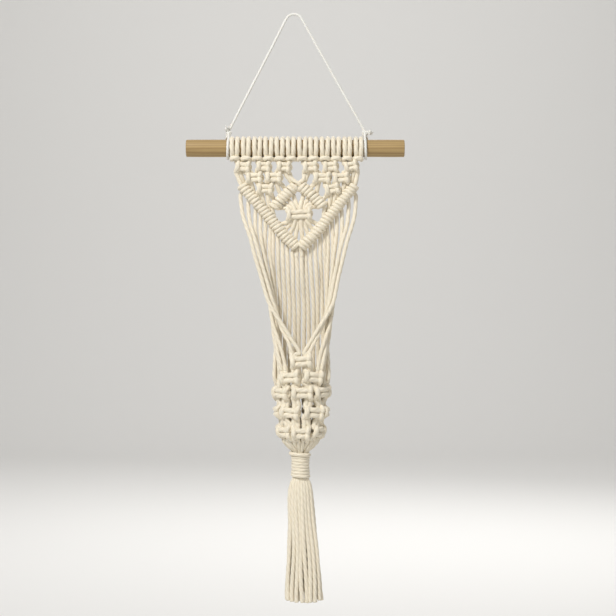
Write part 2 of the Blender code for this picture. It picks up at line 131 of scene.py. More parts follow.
def read_table(table, depth, column):
    """Read a column of a depth table, with straight lines between its rows."""
    for upper, lower in zip(table, table[1:]):
        if depth <= lower[0]:
            break
    share = (depth - upper[0]) / (lower[0] - upper[0])
    share = min(max(share, 0.0), 1.0)
    return upper[column] + share * (lower[column] - upper[column])


def below(depth):
    return work_top - depth


def lean(z):
    return read_table(lean_line, work_top - z, 1)


print("drift at the tassel's end:", round(lean(tassel_end), 4))

# %% [markdown]
# ## Node maths
# A finish is a tree of shader nodes. Written out one link at a time it is hard to read, so one
# small class wraps a socket and lets it take part in ordinary sums, and one method makes any
# other node. `1 - mask` and `height * 0.5 + grain` then read as what they are.


# %% A socket that takes part in sums
class Flow:
    """A value that runs through a material's nodes."""

    def __init__(self, tree, socket):
        self.tree = tree
        self.socket = socket

    def node(self, kind, settings=None, **inputs):
        """Add a node of a type, with its settings first and then its inputs."""
        made = self.tree.nodes.new(kind)
        for name, value in (settings or {}).items():
            if name == "stops":
                set_stops(made.color_ramp, value)
            else:
                setattr(made, name, value)
        for name, value in inputs.items():
            plug(self.tree, find_input(made, name), value)
        return Flow(self.tree, made.outputs[0])

    def output(self, index):
        """Another output of the same node."""
        return Flow(self.tree, self.socket.node.outputs[index])

    def math(self, operation, *values):
        made = self.tree.nodes.new("ShaderNodeMath")
        made.operation = operation
        for socket, value in zip(made.inputs, values):
            plug(self.tree, socket, value)
        return Flow(self.tree, made.outputs[0])

    def __add__(self, other):
        return self.math("ADD", self, other)

    def __radd__(self, other):
        return self.math("ADD", other, self)

    def __sub__(self, other):
        return self.math("SUBTRACT", self, other)

    def __rsub__(self, other):
        return self.math("SUBTRACT", other, self)

    def __mul__(self, other):
        return self.math("MULTIPLY", self, other)

    def __rmul__(self, other):
        return self.math("MULTIPLY", other, self)

    def __pow__(self, other):
        return self.math("POWER", self, other)

    def sin(self):
        return self.math("SINE", self)

    def cos(self):
        return self.math("COSINE", self)

    def size(self):
        return self.math("ABSOLUTE", self)

    def clamp(self):
        return self.node("ShaderNodeClamp", Value=self)


def find_input(node, name):
    """An input that is in use, by its name, with underscores where the name has spaces."""
    wanted = name.replace("_", " ")
    return next(socket for socket in node.inputs if socket.enabled and socket.name == wanted)


def plug(tree, socket, value):
    """Give a socket a link or a plain value."""
    if isinstance(value, Flow):
        tree.links.new(value.socket, socket)
    else:
        socket.default_value = value


def set_stops(ramp, stops):
    """Give a colour ramp its stops: places and colours."""
    while len(ramp.elements) < len(stops):
        ramp.elements.new(0.5)
    for element, (place, color) in zip(ramp.elements, stops):
        element.position = place
        element.color = (*color, 1.0)


# %% [markdown]
# Every finish starts the same way: an empty material with one Principled shader. `new_finish`
# makes it and hands back the shader and a first `Flow` to build on.


# %% A new finish
def new_finish(name, roughness, color):
    material = bpy.data.materials.new(name)
    material.use_nodes = True
    material.diffuse_color = (*color, 1.0)
    shader = material.node_tree.nodes["Principled BSDF"]
    set_constants(shader, Roughness=roughness, Base_Color=(*color, 1.0))
    return material, shader, Flow(material.node_tree, None)


def set_constants(shader, **values):
    """Set inputs that are the same all over the surface."""
    for name, value in values.items():
        find_input(shader, name).default_value = value


def mix_colors(flow, factor, first, second):
    """Mix two colours, each a link or three numbers."""
    made = flow.tree.nodes.new("ShaderNodeMix")
    made.data_type = "RGBA"
    plug(flow.tree, made.inputs["Factor"], factor)
    colors = [socket for socket in made.inputs if socket.type == "RGBA"]
    outputs = [socket for socket in made.outputs if socket.type == "RGBA"]
    for socket, value in zip(colors, (first, second)):
        plug(flow.tree, socket, value if isinstance(value, Flow) else (*value, 1.0))
    return Flow(flow.tree, outputs[0])


# %% [markdown]
# ## Cotton
# A macrame cord is three plies twisted together, and each ply is a loose bundle of combed cotton
# fibres. Close up you see shallow spiral grooves between the plies and fine streaks along the
# fibres, which slant the other way. Both follow the cord wherever it goes, so this finish reads the
# cord's own map, where the first number goes once round the cord and the second runs along it.
#
# The streaks come from noise. Fed with the map directly it would show a seam, so the turn round the
# cord is first made a point on a circle.


# %% Cotton
def make_cotton(name, light, dark, twist, depth):
    """Matt cotton cord: twist is how fast the plies turn, depth how deep their grooves are."""
    material, shader, flow = new_finish(name, 0.88, light)
    place = flow.node("ShaderNodeUVMap", {"uv_map": "cord"})
    around = place.node("ShaderNodeSeparateXYZ", Vector=place)
    along = around.output(1)

    ply_turn = (around * 3.0 + along * twist) * pi
    ply = ply_turn.sin().size() ** 0.6

    fibre_turn = (around - along * 0.45) * (2 * pi)
    circle = flow.node("ShaderNodeCombineXYZ", X=fibre_turn.cos(), Y=fibre_turn.sin(), Z=along * 0.55)
    fibre = flow.node("ShaderNodeTexNoise", Vector=circle, Scale=4.2, Detail=4.0, Roughness=0.62)
    hair = flow.node("ShaderNodeTexNoise", Vector=circle, Scale=11.0, Detail=2.0, Roughness=0.5)
    drift = flow.node("ShaderNodeTexNoise", {"noise_dimensions": "1D"},
                      W=along * 0.09, Scale=1.0, Detail=1.0)

    shade = flow.node("ShaderNodeMapRange", Value=fibre, From_Min=0.32, From_Max=0.68)
    warm = mix_colors(flow, shade * 0.55 + 0.35, dark, light)
    worn = mix_colors(flow, (drift * 1.6 - 0.55).clamp() * 0.35, warm, [value * 0.93 for value in light])
    # Painted shade: the colour is darkened in the grooves between the plies, where shade falls.
    painted_groove_shade = mix_colors(flow, (1 - ply) * 0.30, worn, [value * 0.74 for value in dark])
    plug(flow.tree, shader.inputs["Base Color"], painted_groove_shade)

    height = ply * depth + fibre * 0.34 + hair * 0.16
    bump = flow.node("ShaderNodeBump", Height=height, Strength=0.55, Distance=0.0005)
    plug(flow.tree, shader.inputs["Normal"], bump)
    set_constants(shader, Sheen_Weight=0.35, Sheen_Roughness=0.45, Specular_IOR_Level=0.25,
                  Subsurface_Weight=0.06, Subsurface_Radius=(0.0014, 0.0011, 0.0008),
                  Subsurface_Scale=1.0)
    return material


cotton = make_cotton("natural_cotton", (0.87, 0.805, 0.665), (0.71, 0.62, 0.46), 1.6, 0.60)
white_cotton = make_cotton("white_cotton", (0.87, 0.86, 0.81), (0.70, 0.68, 0.62), 3.4, 0.95)
print("finishes:", cotton.name, white_cotton.name)

# %% [markdown]
# ## Wood
# The dowel is a plain sanded stick of light wood. Its grain is a set of growth rings that run along
# it, so on the side they show as long wavy lines and on the sawn ends as arcs. One set of rings,
# worked out from the distance to an axis beside the stick, gives both.


# %% Wood
def make_wood(name):
    light = (0.475, 0.332, 0.147)
    dark = (0.22, 0.134, 0.053)
    material, shader, flow = new_finish(name, 0.55, light)
    spot = Flow(flow.tree, flow.tree.nodes.new("ShaderNodeTexCoord").outputs["Object"])
    spot = spot.node("ShaderNodeMapping", Vector=spot, Location=(0.0, 0.013, -dowel_middle.z + 0.006))
    stretched = spot.node("ShaderNodeMapping", Vector=spot, Scale=(0.10, 1.0, 1.0))
    wander = flow.node("ShaderNodeTexNoise", Vector=stretched, Scale=60.0, Detail=2.0)
    parts = spot.node("ShaderNodeSeparateXYZ", Vector=spot)
    across = parts.output(1)
    up = parts.output(2)
    reach = (across * across + up * up) ** 0.5
    ring = (reach * 2600.0 + wander * 7.0).sin() * 0.5 + 0.5
    fine_place = spot.node("ShaderNodeMapping", Vector=spot, Scale=(0.035, 1.0, 1.0))
    pores = flow.node("ShaderNodeTexNoise", Vector=fine_place, Scale=1500.0, Detail=3.0, Roughness=0.6)
    cloud = flow.node("ShaderNodeTexNoise", Vector=stretched, Scale=130.0, Detail=3.0)
    tone = (ring ** 1.6 * 0.42 + cloud * 0.45 + pores * 0.25 - 0.12).clamp()
    color = mix_colors(flow, tone, light, dark)
    plug(flow.tree, shader.inputs["Base Color"], color)
    plug(flow.tree, shader.inputs["Roughness"], pores * 0.20 + 0.47)
    bump = flow.node("ShaderNodeBump", Height=pores * 0.7 + ring * 0.3, Strength=0.35, Distance=0.0002)
    plug(flow.tree, shader.inputs["Normal"], bump)
    set_constants(shader, Specular_IOR_Level=0.35)
    return material


wood = make_wood("bare_wood")
print("finish:", wood.name)

# %% [markdown]
# ## Cord as a tube
# A cord could be a Blender curve with a round bevel. That is quick, but a curve turns its ring of
# points suddenly where it runs back on itself, as it does in every knot. So the ring is carried
# along the path here: each next ring is turned only as much as the path itself turns. A shallow
# swelling that winds round the tube gives it its three plies.


# %% Smooth path
def smooth_path(points, spacing):
    """A curve through the points, resampled at about the given spacing.

    Returns the new points and, for each, how many of the given points it has passed.
    """
    padded = [points[0] * 2 - points[1], *points, points[-1] * 2 - points[-2]]
    path = []
    passed = []
    for index in range(len(points) - 1):
        p0, p1, p2, p3 = padded[index:index + 4]
        t0 = max((p1 - p0).length, 1e-6) ** 0.5
        t1 = max((p2 - p1).length, 1e-6) ** 0.5
        t2 = max((p3 - p2).length, 1e-6) ** 0.5
        start = p2 - p1 + t1 * ((p1 - p0) / t0 - (p2 - p0) / (t0 + t1))
        end = p2 - p1 + t1 * ((p3 - p2) / t2 - (p3 - p1) / (t1 + t2))
        steps = max(1, round((p2 - p1).length / spacing))
        for step in range(steps):
            t = step / steps
            path.append(p1 * (2 * t ** 3 - 3 * t ** 2 + 1) + start * (t ** 3 - 2 * t ** 2 + t)
                        + p2 * (3 * t ** 2 - 2 * t ** 3) + end * (t ** 3 - t ** 2))
            passed.append(index + t)
    path.append(points[-1])
    passed.append(len(points) - 1)
    return path, passed


def running_lengths(path, start=0.0):
    """The length along a path up to each of its points, counted on from a start."""
    lengths = [start]
    for a, b in zip(path, path[1:]):
        lengths.append(lengths[-1] + (b - a).length)
    return lengths


# %% Frames carried along a path
def carry_frames(path):
    """For each point of a path, a direction across it that turns as little as it can."""
    tangents = []
    for index in range(len(path)):
        before = path[max(index - 1, 0)]
        after = path[min(index + 1, len(path) - 1)]
        tangents.append((after - before).normalized())
    across = tangents[0].orthogonal().normalized()
    frames = []
    for tangent in tangents:
        across = (across - tangent * across.dot(tangent)).normalized()
        frames.append((across, tangent.cross(across)))
    return frames


# %% Tube
wood_gap = 0.00015


def press_on_dowel(vert):
    """Keep a point of a cord out of the dowel: soft cord goes flat where it lies on wood."""
    away = Vector((0.0, vert.y - dowel_middle.y, vert.z - dowel_middle.z))
    closest = dowel_radius + wood_gap
    if away.length >= closest:
        return vert
    return vert + away * (closest / away.length - 1)


def draw_tube(name, path, frames, radii, start_length, finish, twist, sides=18, swell=0.07):
    """A closed tube along a path, with the cord's own map on it."""
    verts = []
    lengths = running_lengths(path, start_length)
    for point, (across, deep), radius, length in zip(path, frames, radii, lengths):
        for side in range(sides):
            turn = 2 * pi * side / sides
            lobe = 1 + swell * cos(3 * turn + length * twist)
            reach = radius * lobe
            vert = point + across * (reach * cos(turn)) + deep * (reach * sin(turn))
            verts.append(press_on_dowel(vert))
    faces = []
    map_points = []
    around = 2 * pi * strand / 2
    for ring in range(len(path) - 1):
        low = lengths[ring] / around
        high = lengths[ring + 1] / around
        for side in range(sides):
            a = ring * sides + side
            b = ring * sides + (side + 1) % sides
            faces.append((a, b, b + sides, a + sides))
            left = side / sides
            right = (side + 1) / sides
            map_points += [left, low, right, low, right, high, left, high]
    for ring, order in ((0, -1), (len(path) - 1, 1)):
        cap = [ring * sides + side for side in range(sides)][::order]
        faces.append(cap)
        for corner in cap:
            turn = 2 * pi * (corner % sides) / sides
            map_points += [0.5 + 0.1 * cos(turn), lengths[ring] / around + 0.1 * sin(turn)]
    mesh = bpy.data.meshes.new(name)
    mesh.from_pydata(verts, [], faces)
    layer = mesh.uv_layers.new(name="cord")
    layer.data.foreach_set("uv", map_points)
    mesh.shade_smooth()
    mesh.materials.append(finish)
    piece = bpy.data.objects.new(name, mesh)
    bpy.context.collection.objects.link(piece)
    return piece


def draw_even_tube(name, path, thickness, start_length, finish, twist):
    """A tube that is equally thick from end to end."""
    radii = [thickness / 2] * len(path)
    return draw_tube(name, path, carry_frames(path), radii, start_length, finish, twist)


def dress(piece, body, slot, *nodes):
    """Hang a piece on its body, and hide the solids of the working model that it takes the place of."""
    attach(piece, body)
    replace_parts(piece, *nodes)


# %% [markdown]
# ## The strands
# `strands` holds the path of each of the twenty-four strands, as a list of places. Each place also
# carries the zone it lies in, because the cords are cut there into the pieces that move apart, and
# a fullness: soft cord puffs up where a knot bends it and lies slimmer where it hangs straight.
# Tying a knot means adding a few places to each strand in it. No two hand-tied knots are alike, so
# small shifts come from a seeded random generator that gives the same ones every time.

# %% An empty list for each strand
rng = random.Random(7)
strands = {number: [] for number in range(1, strand_count + 1)}
zone = "panel"
any_turn = 6.28


def lay(number, *points, fullness=1.0, part=None):
    """Take a strand on through the given places, in the zone being tied or in a named one."""
    strands[number] += [(point, part or zone, fullness) for point in points]


# %% [markdown]
# ## Lark's heads
# Each cord is folded over the dowel with a lark's head: its fold makes a bar across the front,
# each half goes under the dowel, up its back and over the top, comes down the front and leaves
# behind the bar. The path is written from the middle of the bar, in degrees round the dowel from
# its front, so the last places are where the strands leave for the first knot.


# %% Lark's heads
def around_dowel(x, turn, reach):
    angle = radians(turn)
    return Vector((x, dowel_middle.y - reach * cos(angle), dowel_middle.z + reach * sin(angle)))


snug = dowel_radius + strand * 0.22
room_by_hanger = 2.9
head_path = [
    # millimetres across, degrees round, and millimetres further out than snug
    (0, -47, 5.1), (2.2, -48, 4.9), (3.7, -58, 4.1), (4.1, -76, 2.3), (4.0, -98, 0.8),
    (3.7, -130, 0.2), (3.3, -165, 0), (3.0, -200, 0), (2.8, -235, 0), (2.8, -270, 0),
    (2.8, -305, 0.2), (2.8, -335, 0.3), (2.7, -360, 0.4), (2.5, -385, 0.6), (2.3, -404, 1.0),
    (2.1, -416, 1.6),
]
for head, middle_x in enumerate(head_places):
    for side, number in ((-1, 2 * head + 1), (1, 2 * head + 2)):
        drift = rng.uniform(-0.00035, 0.00035)
        next_to_hanger = (head, side) in ((0, -1), (11, 1))
        for place, (across, turn, out) in enumerate(head_path):
            across = min(across, room_by_hanger) if next_to_hanger else across
            x = middle_x + side * across / 1000 + drift * sin(pi * place / len(head_path))
            lay(number, around_dowel(x, turn, snug + out / 1000), fullness=1.12)
print("lark's heads:", len(head_places))

# %% [markdown]
# ## Square knots
# A square knot takes four strands. The two in the middle are fillers and run straight through. The
# left one crosses the front twice, which shows as two bars, and turns back on the right. The right
# one crosses behind, comes forward on the left, runs down over both bars and goes back behind. The
# places are in strand thicknesses from the knot's middle: across, towards the wall, and up. The
# same paths with more fillers make the large knot in the middle of the panel.


# %% Square knots
def square_knot(members, place, half_width=2.3, half_height=1.36, bar=0.54, fullness=1.20):
    """Tie a square knot. place turns across, deep and up, in metres, into a point."""
    edge = half_width - 0.55
    end = half_width - 0.90
    top = half_height
    lift = min(bar * 2 - 0.06, top - 0.26)
    front = [
        (-edge, 0, top), (-edge - 0.05, -0.30, lift), (-end, -0.66, bar + 0.10),
        (-end * 0.4, -0.80, bar), (end * 0.4, -0.80, bar), (end, -0.62, bar - 0.06),
        (half_width - 0.40, -0.05, bar * 0.5), (half_width - 0.34, 0.08, 0),
    ]
    back = [
        (edge, 0, top), (edge - 0.10, -0.60, lift + 0.08), (end + 0.06, -1.22, bar + 0.12),
        (end + 0.02, -0.90, bar * 0.42), (end - 0.05, -0.05, 0.10), (end * 0.5, 0.70, 0.20),
        (-end * 0.4, 0.80, 0.40), (-end, 0.45, 0.70), (-end + 0.04, -0.45, 1.02),
        (-end - 0.02, -1.22, 0.56), (-end - 0.06, -1.34, 0),
    ]
    worker_paths = {}
    for name, half in (("front", front), ("back", back)):
        lower = [(x, y, -z) for x, y, z in reversed(half[:-1])]
        worker_paths[name] = half + lower
    fillers = members[1:-1]
    room = max(edge - 0.95, 0.44)
    lay_local(members[0], worker_paths["front"], place, fullness)
    for index, number in enumerate(fillers):
        share = 2 * index / (len(fillers) - 1) - 1
        layer = 0.0 if len(fillers) == 2 else 0.22 * (-1) ** index
        filler = [(share * room, layer, z) for z in (top, top * 0.35, -top * 0.35, -top)]
        lay_local(number, filler, place, fullness)
    lay_local(members[-1], worker_paths["back"], place, fullness)


def lay_local(number, path, place, fullness):
    lay(number, *[place(x * strand, y * strand, z * strand) for x, y, z in path], fullness=fullness)


# %% [markdown]
# The panel's knots stand in three rows. Each row takes two strands from each knot above it, so the
# rows are staggered, and each knot is turned and shifted a little.

# %% The three rows of the panel
knot_pitch = 0.0215
row_pitch = 0.0110


def flat_place(center, tilt):
    """A place function for a knot that lies flat in the panel, turned a little."""
    turned = Matrix.Rotation(tilt, 3, "Y")
    return lambda x, y, z: center + turned @ Vector((x, y, z))


panel_rows = [
    # row, limits of half a knot's width, places across in knots, first strand of each knot
    (0, (1.90, 2.10), (-2.5, -1.56, -0.60, 0.60, 1.54, 2.5), (1, 5, 9, 13, 17, 21)),
    (1, (2.05, 2.35), (-2.0, -1.12, 1.12, 2.0), (3, 7, 15, 19)),
    (2, (2.05, 2.35), (-1.56, 1.56), (5, 17)),
]
for row, widths, places, firsts in panel_rows:
    row_z = below((row + 0.5) * row_pitch)
    for place_across, first in zip(places, firsts):
        shift = Vector((rng.uniform(-0.0004, 0.0004), 0.0, rng.uniform(-0.0003, 0.0003)))
        center = Vector((lean(row_z) + place_across * knot_pitch, panel_y, row_z)) + shift
        tilt = radians(rng.uniform(-7, 7) - 3 * place_across)
        square_knot(list(range(first, first + 4)), flat_place(center, tilt),
                    half_width=rng.uniform(*widths), bar=rng.uniform(0.54, 0.60), fullness=1.14)
print("square knots in the panel:", sum(len(places) for _, _, places, _ in panel_rows))

# %% [markdown]
# ## Rows of hitches
# The diamond and the pointed border are rows of double half hitches. One strand is held slanting
# across the others, and each of the others is wound round it twice. A wound strand comes down
# behind the held one and leaves below it, so the wind is a short screw of two and a half turns.


# %% A slanting line to hold a strand along
def arm_line(table, mirror):
    """Even steps along an arm: places, and the distance to each from the arm's start."""
    heights = [(offset, below(depth)) for offset, depth in table]
    points = [Vector((mirror * offset + lean(z), panel_y, z)) for offset, z in heights]
    path, _ = smooth_path(points, 0.0008)
    return path, running_lengths(path)


def point_on(arm, length):
    """A place on an arm and the arm's direction there."""
    path, lengths = arm
    index = 0
    while index < len(path) - 2 and lengths[index + 1] < length:
        index += 1
    share = (length - lengths[index]) / (lengths[index + 1] - lengths[index])
    along = (path[index + 1] - path[index]).normalized()
    return path[index].lerp(path[index + 1], share), along


# %% Double half hitch
wrap_pitch = 0.00385
towards_wall = Vector((0, 1, 0))


def hitch(number, arm, middle):
    """Wind a strand twice round the held one, at a distance along the arm."""
    reach = strand * rng.uniform(0.94, 1.06)
    middle += rng.uniform(-0.0003, 0.0003)
    for turn in range(50, 841, 40):
        steps = max(-0.66, min(0.66, (turn - 450) / 360))
        spot, along = point_on(arm, middle + steps * wrap_pitch)
        up = towards_wall.cross(along)
        if up.z < 0:
            up = -up
        angle = radians(turn)
        place = spot + (up * cos(angle) + towards_wall * sin(angle)) * reach
        lay(number, place, fullness=0.96)


# %% [markdown]
# The diamond's upper sides come first. The two middle strands cross at its top and are held out to
# both sides, and the four strands next to them are wound on. From here on the strands have changed
# places, so `order` keeps their numbers from left to right.

# %% The diamond's upper sides
diamond_line = [(0.0, 0.0228), (-0.0135, 0.0338), (-0.0285, 0.0498)]
diamond_arms = {-1: arm_line(diamond_line, 1), 1: arm_line(diamond_line, -1)}
apex = diamond_arms[-1][0][0]
for number, side in ((12, 1), (13, -1)):
    arm = diamond_arms[side]
    lift = -0.3 if side > 0 else 0.3
    lay(number, apex + Vector((-side * 0.0052, 0.0, 0.0042)), apex + Vector((0, lift * strand, 0.0006)))
    for length in range(5, 36, 5):
        lay(number, point_on(arm, length / 1000)[0])
diamond_members = {-1: (11, 10, 9, 8), 1: (14, 15, 16, 17)}
for side, members in diamond_members.items():
    for index, number in enumerate(members):
        hitch(number, diamond_arms[side], 0.0066 + index * 0.0079)
order = [*range(1, 8), 13, 8, 9, 10, 11, 14, 15, 16, 17, 12, *range(18, 25)]
print("strand order:", order)

# %% [markdown]
# The eight strands of the diamond fan in to one large square knot and fan out again below it.

# %% The large square knot
center = box_middle("center_knot")
center_low, center_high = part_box("center_knot")
square_knot(
    [8, 9, 10, 11, 14, 15, 16, 17], flat_place(center, radians(-3)),
    half_width=(center_high.x - center_low.x) / 2 / strand + 0.6,
    half_height=(center_high.z - center_low.z) / 2 / strand, bar=0.60, fullness=1.12,
)
print("large knot:", round(center_high.x - center_low.x, 4), "across")

# %% The pointed border
border_line = [(-0.0565, 0.0238), (-0.0340, 0.0503), (-0.0150, 0.0733), (0.0, 0.0873)]
border_arms = {-1: arm_line(border_line, 1), 1: arm_line(border_line, -1)}
border_members = {-1: order[1:12], 1: order[12:23][::-1]}
border_holders = {-1: order[0], 1: order[23]}
for side, members in border_members.items():
    arm = border_arms[side]
    arm_length = arm[1][-1]
    holder = border_holders[side]
    lay(holder, *[point_on(arm, arm_length * share)[0] for share in (0.0, 0.03, 0.08)])
    lay(holder, *[point_on(arm, arm_length * share / 10)[0] for share in range(2, 10)])
    for index, number in enumerate(members):
        hitch(number, arm, (index + 0.5) * arm_length / 11.3)
tip = border_arms[-1][0][-1]
lay(border_holders[-1], tip + Vector((-0.0015, 0.0010, 0.0006)), tip + Vector((-0.0022, 0.0012, -0.0040)))
lay(border_holders[1], tip + Vector((0.0010, -0.0010, 0.0020)), tip + Vector((0.0026, 0.0006, -0.0040)))
order = [*order[1:12], order[0], order[23], *order[12:23]]
print("strand order below the border:", order)

# %% [markdown]
# ## Long strands
# Below the border nothing is tied for a hand's width. The outer three pairs on each side swing
# inwards and cross to the front of the pocket, and the inner three hang straight down behind them.
# Each pair follows one path, and its two strands lie side by side along it; the front pairs also
# turn half round each other on the way, because the strand that starts outside ends inside.

# %% Paths of the pairs
zone = "long"
pair_paths = [
    # across from the middle line, towards the wall and down, in millimetres
    [(-54.5, -5, 35), (-51, -7.2, 55.8), (-45.8, -9.6, 78.3), (-40.8, -10.2, 98.3),
     (-35, -10.6, 119.8), (-30, -11.4, 139.8), (-20.5, -13.2, 161.8), (-10.5, -14.8, 180.8),
     (-4.6, -15.1, 191.5)],
    [(-42.8, -5, 50), (-40.5, -5, 69.8), (-36, -5.2, 101.8), (-29.8, -6, 138.8),
     (-25.5, -8.2, 168.8), (-21, -10.8, 191.8), (-17.6, -11.6, 207)],
    [(-33.5, -5, 60), (-33, -2, 78.8), (-30, 0.6, 113.8), (-26.6, 0.6, 153.8),
     (-25.4, -1.4, 188.8), (-24.5, -4.4, 221.5)],
]
plumb_pairs = {
    -23.6: [(-5, 71), (-1, 86.8), (5.4, 118.8), (7.2, 158.8), (6.4, 193.8), (4.8, 221.5)],
    -14.3: [(-5, 82), (-2, 98.8), (5.2, 133.8), (9.4, 168.8), (10.2, 198.8), (10.4, 221.5)],
    -4.8: [(-5, 93), (-2, 109.8), (6.2, 143.8), (11.6, 178.8), (13.2, 203.8), (13.6, 221.5)],
}
for across, rows in plumb_pairs.items():
    pair_paths.append([(across, deep, depth) for deep, depth in rows])
pair_paths = [[[value / 1000 for value in row] for row in rows] for rows in pair_paths]
print("pairs on each side:", len(pair_paths))


# %% Long strands
cross_top = -0.295
half_gap = 0.0023
half_gap_deep = 0.0021
outer_shift = {-1: 0.0048, 1: 0.0022}


def ease(share):
    """Run from 0 to 1 with a soft start and a soft stop."""
    share = min(max(share, 0.0), 1.0)
    return share * share * (3 - 2 * share)


def lay_pair(left, right, path, side):
    """Lay two neighbours along a path; left and right are as seen from the front."""
    outer, inner = (left, right) if side < 0 else (right, left)
    crosses = path[-1][1] < 0
    route, _ = smooth_path([Vector(row) for row in path], 0.004)
    end = path[-1][2]
    for number, sign in ((outer, -1), (inner, 1)):
        wobble = rng.uniform(0, any_turn)
        leave = strands[number][-1][0] + Vector((0, 0.0002, -0.0045))
        if path is pair_paths[0]:
            leave.x += side * outer_shift[sign]
        elif not crosses:
            leave.x += 0.8 * (lean(leave.z) - side * (path[-1][0] + sign * half_gap) - leave.x)
        lay(number, leave)
        start = work_top - leave.z
        offset_now = side * (lean(leave.z) - leave.x)
        next_depth = start + 0.010
        for offset, y, depth in route:
            if depth < next_depth:
                continue
            next_depth = depth + 0.011
            turn = pi * ease((depth - end + 0.065) / 0.060) if crosses else 0.0
            across = offset + sign * half_gap * cos(turn)
            deep = y + sign * half_gap_deep * sin(turn)
            settled = ease((depth - start) / 0.045)
            across = offset_now + (across - offset_now) * settled
            deep = leave.y + (deep - leave.y) * settled
            sway = 0.0003 * sin(wobble + depth * 60)
            z = below(depth)
            part = "cross" if crosses and z < cross_top else "long"
            lay(number, Vector((lean(z) - side * across + sway, deep, z)), fullness=0.94, part=part)


pair_nodes = {}
for side_name, side in (("left", -1), ("right", 1)):
    for index, path in enumerate(pair_paths):
        first = 2 * index if side < 0 else strand_count - 2 * index - 2
        lay_pair(order[first], order[first + 1], path, side)
        kind = "front" if index < 3 else "back"
        for number in order[first:first + 2]:
            pair_nodes[number] = f"{kind}_strands_{side_name}_{index % 3 + 1}"
print("long strands:", len(pair_nodes))

# %% [markdown]
# ## Net pocket
# The pocket is a round net. Its top front knot joins the innermost strands of both sides, the next
# row adds two more, and then each round has six knots, each taking two strands from either knot
# above. The knots sit on an oval tube that narrows at the bottom, so a knot's place is worked out
# on that surface: going across the knot goes round the tube.

# %% The pocket's surface
pocket_y = -0.0005
strand_angle = 360 / strand_count
pocket_shape = [
    # depth, half width, half depth
    (0.1838, 0.0255, 0.0150), (0.2298, 0.0228, 0.0150), (0.2498, 0.0230, 0.0148),
    (0.2698, 0.0180, 0.0146), (0.2838, 0.0150, 0.0120),
]


def on_pocket(turn, z):
    """A place on the pocket, the way out of it, and the speed round it, from an angle in degrees."""
    half_width = read_table(pocket_shape, work_top - z, 1)
    half_depth = read_table(pocket_shape, work_top - z, 2)
    angle = radians(turn)
    across = half_width * sin(angle)
    place = Vector((lean(z) + across, pocket_y - half_depth * cos(angle), z))
    outward = Vector((half_depth * sin(angle), -half_width * cos(angle), 0)).normalized()
    speed = hypot(half_width * cos(angle), half_depth * sin(angle))
    return place, outward, speed


def pocket_place(turn, middle_z, tilt):
    """A place function for a knot on the pocket, turned a little."""
    speed = on_pocket(turn, middle_z)[2]

    def place(x, y, z):
        round_x = x * cos(tilt) - z * sin(tilt)
        up = z * cos(tilt) + x * sin(tilt)
        spot, outward, _ = on_pocket(turn + degrees(round_x / speed), middle_z + up)
        return spot - outward * y

    return place


# %% The net's knots
zone = "net"
net_rounds = [
    # depth, half a knot's width in strand thicknesses, and the knots' places in degrees
    (0.1993, 2.60, (0,)), (0.2148, 2.55, (-30, 30)), (0.2300, 2.55, (0, -60, 60, -120, 120, 180)),
    (0.2493, 2.55, (-30, 30, -90, 90, -150, 150)), (0.2698, 2.25, (0, -60, 60, -120, 120, 180)),
]
for depth, half_width, turns in net_rounds:
    for turn in turns:
        leftmost = -turn / strand_angle + 2
        members = [order[int(leftmost - step - 1) % strand_count] for step in range(4)]
        z = below(depth + rng.uniform(-0.0007, 0.0007))
        shift = rng.uniform(-2.0, 2.0)
        tilt = radians(rng.uniform(-8, 8))
        square_knot(members, pocket_place(turn + shift, z, tilt), half_width + rng.uniform(-0.1, 0.1),
                    half_height=1.75, bar=rng.uniform(0.60, 0.68), fullness=1.28)
print("knots in the net:", sum(len(turns) for _, _, turns in net_rounds))

# %% [markdown]
# ## Gathering, neck and tassel
# Under the net all strands run together into the wrap, and below it they hang free as the tassel.
# Two thirds of them lie outside and the rest fill the middle. The wrap squeezes them, so they
# are drawn thinner there.

# %% Where each strand hangs in the tassel
def tassel_spot(position):
    """Across and deep, from -1 to 1, for a strand by its position round the pocket."""
    from_front = min(position, strand_count + 1 - position)
    side = -1 if position <= 12 else 1
    if 5 <= from_front <= 8:
        return side * (1.0 - (from_front - 5) * 0.27), 0.16 * (-1) ** from_front
    face = -1 if from_front < 5 else 1
    across = (from_front - 0.5 if face < 0 else 12.5 - from_front) / 3.6
    return side * across, face * sqrt(1 - (0.86 * across) ** 2)


